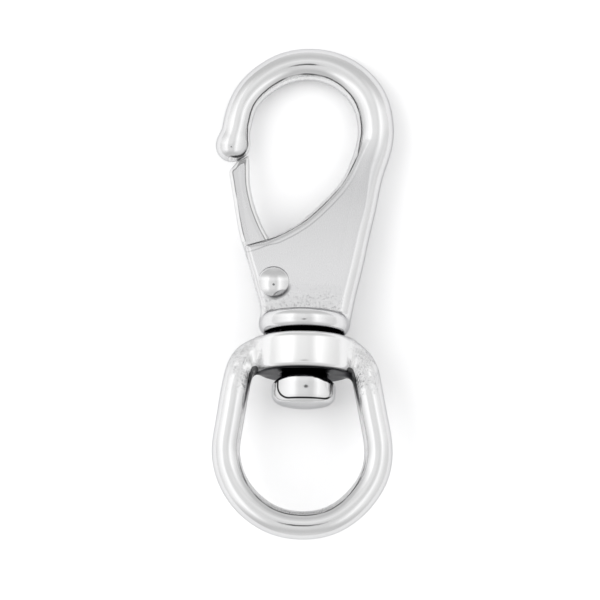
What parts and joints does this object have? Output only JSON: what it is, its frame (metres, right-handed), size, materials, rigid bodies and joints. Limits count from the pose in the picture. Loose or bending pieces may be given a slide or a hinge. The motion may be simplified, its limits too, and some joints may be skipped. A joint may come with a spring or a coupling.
{
  "type": "swivel eye snap hook",
  "caption": "Cast swivel-eye snap hook with a sprung inward-opening gate, round collar and a rope eye that turns on the hook's shank.",
  "frame": {"origin": "the point on the swivel axis where a line or shackle bears in the round end of the eye", "axes": "+Y along the swivel axis from the eye to the hook, +Z square to the plane of the hook, +X towards the hook's solid side, away from the gate"},
  "size_m": [0.0384, 0.1045, 0.0204],
  "materials": {
    "cast_steel": "polished cast stainless steel",
    "gate_steel": "polished stainless steel with a satin flat",
    "pin_steel": "polished stainless steel",
    "spring_steel": "drawn spring wire"
  },
  "bodies": {
    "hook": {"hook_body": "cast_steel", "gate_pin": "pin_steel", "gate_spring": "spring_steel"},
    "gate": {"gate": "gate_steel"},
    "eye": {"swivel_eye": "cast_steel"}
  },
  "joints": [
    {"name": "gate_hinge", "type": "hinge", "parent": "hook", "child": "gate", "pos_m": [-0.0068, 0.0478, 0], "axis": [0, 0, -1], "range_deg": [0, 36], "stiffness_Nm_per_rad": 0.08, "springref_deg": -34.38, "deforming": ["gate_spring"]},
    {"name": "eye_swivel", "type": "hinge", "parent": "hook", "child": "eye", "pos_m": [0, 0.0326, 0], "axis": [0, 1, 0], "continuous": true}
  ]
}
